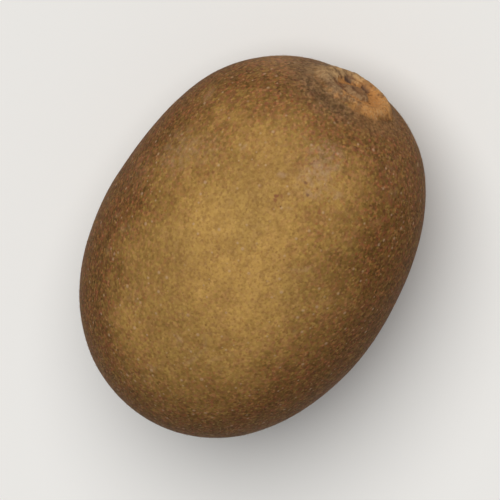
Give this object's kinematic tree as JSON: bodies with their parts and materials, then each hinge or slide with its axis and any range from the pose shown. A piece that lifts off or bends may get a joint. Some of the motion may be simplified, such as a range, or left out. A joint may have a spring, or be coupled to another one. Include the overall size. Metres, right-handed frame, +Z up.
{
  "type": "golden kiwi fruit",
  "caption": "Whole oval fruit with smooth golden-brown skin, lying on its side, with a raised corky scar at the stem end and a small flat resting spot.",
  "frame": {"origin": "middle of the footprint of the fruit's bounding box, on the plane of the small flat resting spot", "axes": "+X along the fruit's long axis towards the stem end, +Z up"},
  "size_m": [0.0638, 0.0476, 0.0455],
  "materials": {
    "kiwi_skin": "matte, fine-grained golden-brown skin with tan specks and a browner corky scar"
  },
  "bodies": {
    "root": {"kiwi_fruit": "kiwi_skin"}
  },
  "joints": []
}
